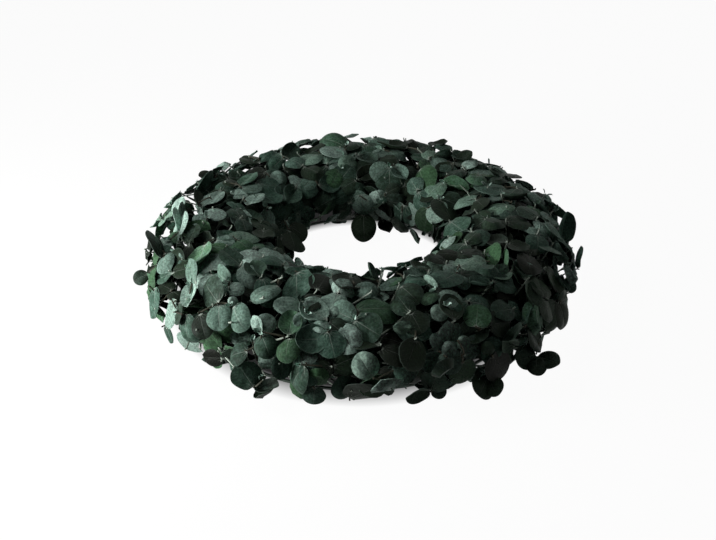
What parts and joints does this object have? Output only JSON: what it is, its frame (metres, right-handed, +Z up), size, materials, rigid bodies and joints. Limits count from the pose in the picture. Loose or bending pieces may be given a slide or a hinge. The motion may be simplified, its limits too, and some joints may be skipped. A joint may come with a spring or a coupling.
{
  "type": "eucalyptus wreath",
  "caption": "Round eucalyptus wreath that lies flat: leafy sprigs bound with thin wire round a raised wire frame, open in the centre.",
  "frame": {"origin": "centre of the wreath, on the surface that it lies on", "axes": "+Z up out of the surface; +X is where the first bunch's cut ends are, and seen from above the sprigs' tips point counter-clockwise"},
  "size_m": [0.4354, 0.4317, 0.0901],
  "materials": {
    "eucalyptus": "matte",
    "frame_wire": "satin",
    "paddle_wire": "satin"
  },
  "bodies": {
    "root": {"binding_wire": "paddle_wire", "frame_brace_1": "frame_wire", "frame_brace_2": "frame_wire", "frame_brace_3": "frame_wire", "frame_brace_4": "frame_wire", "frame_brace_5": "frame_wire", "frame_brace_6": "frame_wire", "frame_ring_inner_foot": "frame_wire", "frame_ring_inner_raised": "frame_wire", "frame_ring_outer_raised": "frame_wire", "frame_ring_outer_foot": "frame_wire", "sprig_outer_01": "eucalyptus", "sprig_top_01": "eucalyptus", "sprig_inner_01": "eucalyptus", "sprig_outer_02": "eucalyptus", "sprig_top_02": "eucalyptus", "sprig_inner_02": "eucalyptus", "sprig_outer_03": "eucalyptus", "sprig_top_03": "eucalyptus", "sprig_inner_03": "eucalyptus", "sprig_outer_04": "eucalyptus", "sprig_top_04": "eucalyptus", "sprig_inner_04": "eucalyptus", "sprig_outer_05": "eucalyptus", "sprig_top_05": "eucalyptus", "sprig_inner_05": "eucalyptus", "sprig_outer_06": "eucalyptus", "sprig_top_06": "eucalyptus", "sprig_inner_06": "eucalyptus", "sprig_outer_07": "eucalyptus", "sprig_top_07": "eucalyptus", "sprig_inner_07": "eucalyptus", "sprig_outer_08": "eucalyptus", "sprig_top_08": "eucalyptus", "sprig_inner_08": "eucalyptus", "sprig_outer_09": "eucalyptus", "sprig_top_09": "eucalyptus", "sprig_inner_09": "eucalyptus", "sprig_outer_10": "eucalyptus", "sprig_top_10": "eucalyptus", "sprig_inner_10": "eucalyptus", "sprig_outer_11": "eucalyptus", "sprig_top_11": "eucalyptus", "sprig_inner_11": "eucalyptus", "sprig_outer_12": "eucalyptus", "sprig_top_12": "eucalyptus", "sprig_inner_12": "eucalyptus"}
  },
  "joints": []
}
